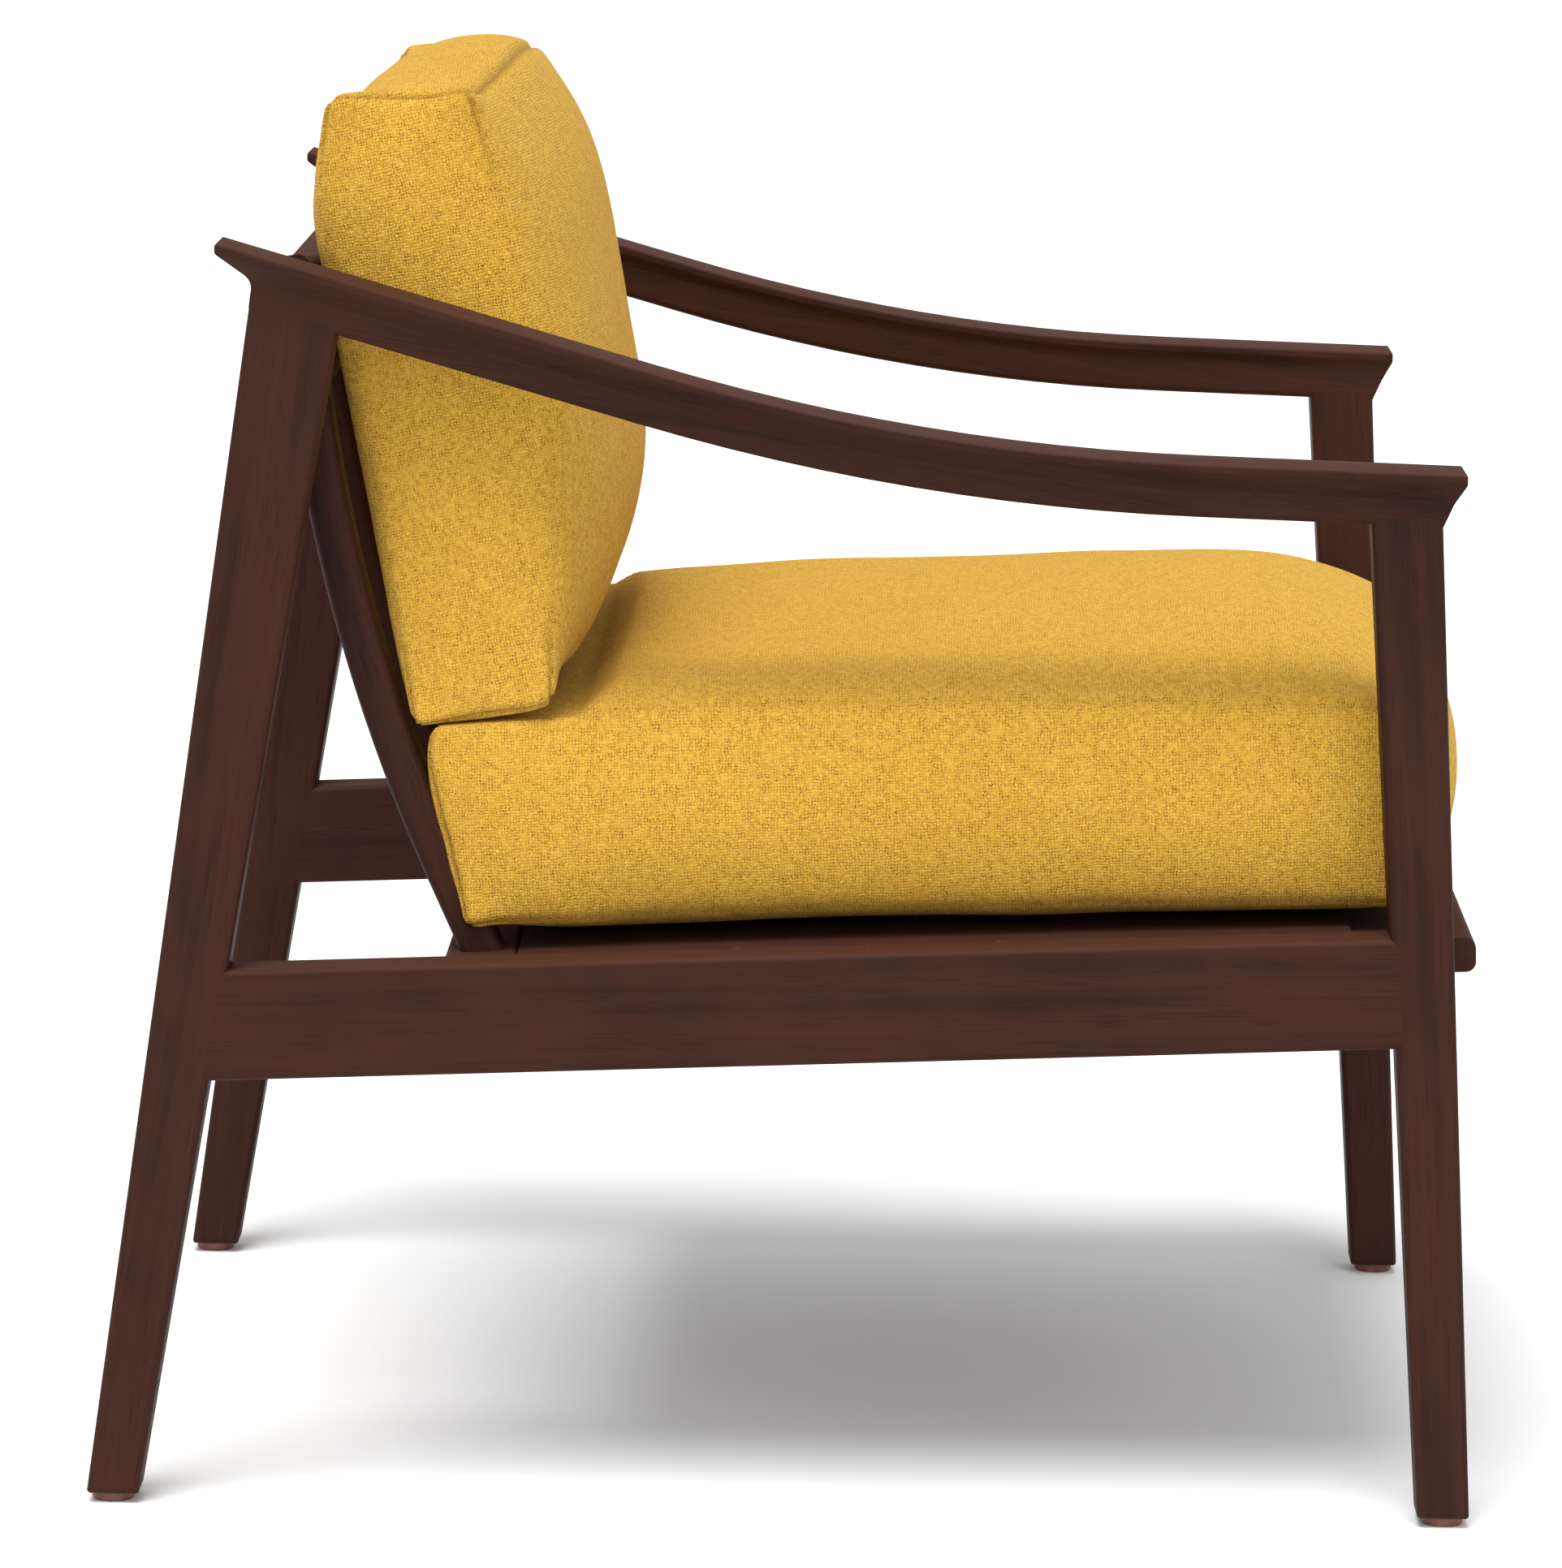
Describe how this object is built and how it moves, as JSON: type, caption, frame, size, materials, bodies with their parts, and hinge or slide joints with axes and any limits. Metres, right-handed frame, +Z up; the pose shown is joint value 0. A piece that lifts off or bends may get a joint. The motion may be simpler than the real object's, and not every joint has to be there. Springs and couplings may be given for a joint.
{
  "type": "wooden armchair",
  "caption": "Low lounge armchair: open dark wooden side frames with curved sweeping arms, slatted back and deck, and loose box cushions in mustard woven fabric.",
  "frame": {"origin": "on the floor, under the middle of the chair's bounding box", "axes": "+Z up; the sitter faces -Y; +X is the sitter's left"},
  "size_m": [0.72, 0.7986, 0.8265],
  "materials": {
    "frame_wood": "satin",
    "dowel_wood": "matte",
    "fastener_steel": "satin",
    "glide_plastic": "matte",
    "cover_fabric": "matte",
    "wrap_fibre": "matte",
    "core_foam": "matte"
  },
  "bodies": {
    "frame": {"arm_dowels": "dowel_wood", "arm_left": "frame_wood", "arm_right": "frame_wood", "back_slat_1": "frame_wood", "back_slat_2": "frame_wood", "back_slat_3": "frame_wood", "back_stile_left": "frame_wood", "back_stile_right": "frame_wood", "bearer_screws": "fastener_steel", "crest_rail": "frame_wood", "deck_panel": "frame_wood", "front_board": "frame_wood", "front_board_dowels": "dowel_wood", "front_leg_left": "frame_wood", "front_leg_right": "frame_wood", "glide_front_left": "glide_plastic", "glide_front_right": "glide_plastic", "glide_nails": "fastener_steel", "glide_rear_left": "glide_plastic", "glide_rear_right": "glide_plastic", "rear_leg_left": "frame_wood", "rear_leg_right": "frame_wood", "rear_rail_dowels": "dowel_wood", "rear_seat_rail": "frame_wood", "seat_bearer_left": "frame_wood", "seat_bearer_right": "frame_wood", "seat_slat_1": "frame_wood", "seat_slat_2": "frame_wood", "seat_slat_3": "frame_wood", "seat_slat_4": "frame_wood", "seat_slat_5": "frame_wood", "seat_slat_6": "frame_wood", "side_rail_dowels": "dowel_wood", "side_rail_left": "frame_wood", "side_rail_right": "frame_wood", "slat_screws": "fastener_steel"},
    "seat_cushion": {"seat_cushion_core": "core_foam", "seat_cushion_cover": "cover_fabric", "seat_cushion_wrap": "wrap_fibre"},
    "back_cushion": {"back_cushion_core": "core_foam", "back_cushion_cover": "cover_fabric", "back_cushion_wrap": "wrap_fibre"}
  },
  "joints": [
    {"name": "seat_cushion_slide", "type": "slide", "parent": "frame", "child": "seat_cushion", "axis": [0, -0.9989, 0.0459], "range_m": [0, 0.3]},
    {"name": "back_cushion_lift", "type": "slide", "parent": "frame", "child": "back_cushion", "axis": [0, 0.2009, 0.9796], "range_m": [0, 0.3]}
  ]
}
